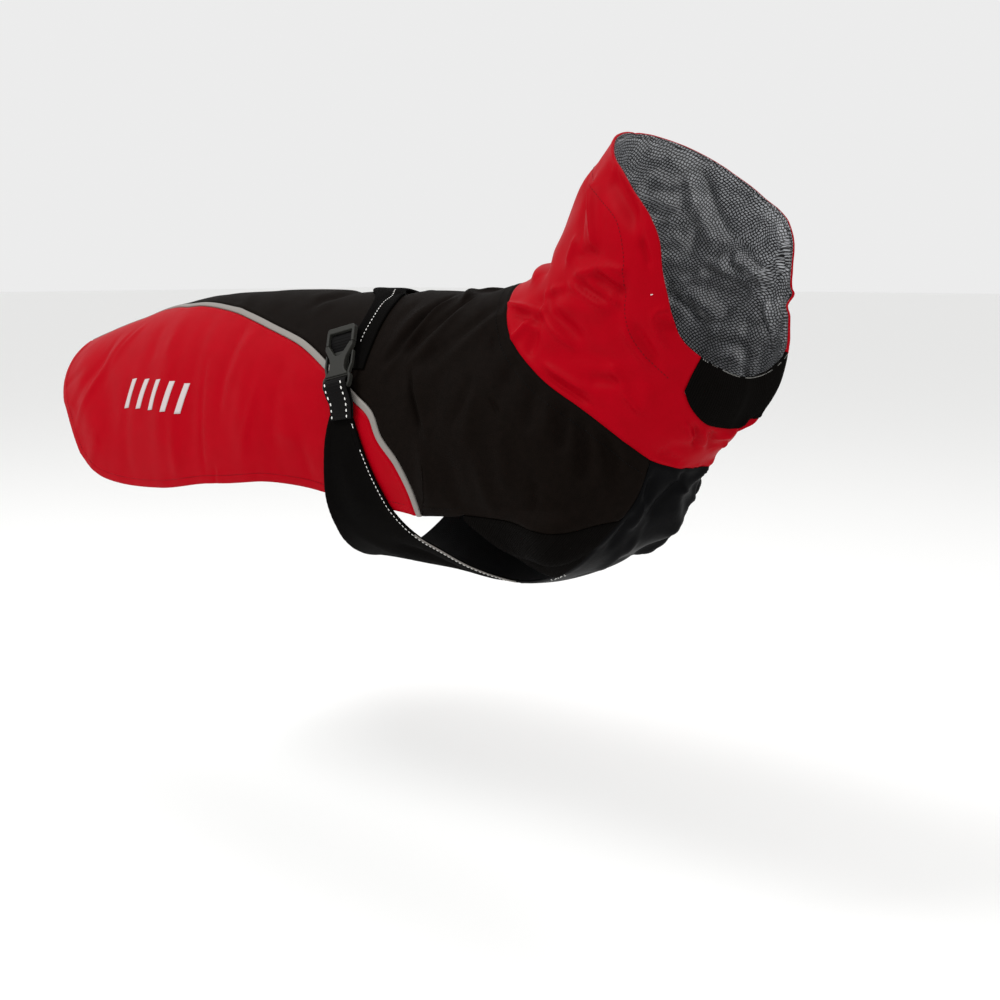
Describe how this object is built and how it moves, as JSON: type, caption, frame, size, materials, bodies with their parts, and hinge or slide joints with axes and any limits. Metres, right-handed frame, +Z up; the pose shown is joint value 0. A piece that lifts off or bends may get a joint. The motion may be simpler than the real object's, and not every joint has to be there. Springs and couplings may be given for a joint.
{
  "type": "dog raincoat",
  "caption": "Dog raincoat with a tall collar, rib-knit throat and leg gussets, wrap-over belly flap and a side-release buckle on each side, in its worn form.",
  "frame": {"origin": "inside of the back at the withers, where the coat rests on the dog", "axes": "+X towards the dog's head, +Y the dog's left, +Z up"},
  "size_m": [0.8113, 0.2316, 0.3645],
  "materials": {
    "black_softshell": "matt woven softshell",
    "red_shell": "matt woven shell cloth",
    "reflective_piping": "grey reflective piping tape",
    "chest_nylon": "smooth nylon with a low sheen",
    "flap_knit": "dense matt double-face cloth",
    "rib_knit": "rib knit",
    "mesh_lining": "black net over silver-grey lining",
    "webbing": "woven 25 mm webbing",
    "buckle_plastic": "matt moulded plastic"
  },
  "bodies": {
    "root": {"body_shell": "black_softshell", "rump_panel_right": "red_shell", "rump_panel_left": "red_shell", "piping_right": "reflective_piping", "piping_left": "reflective_piping", "chest_panel": "chest_nylon", "belly_flap": "flap_knit", "rib_gusset_right": "rib_knit", "rib_gusset_left": "rib_knit", "collar": "red_shell", "throat_rib": "rib_knit", "collar_lining": "mesh_lining", "back_belt": "flap_knit", "webbing_right": "webbing", "webbing_left": "webbing", "buckle_socket_right": "buckle_plastic", "buckle_socket_left": "buckle_plastic", "buckle_plug_right": "buckle_plastic", "buckle_plug_left": "buckle_plastic"}
  },
  "joints": []
}
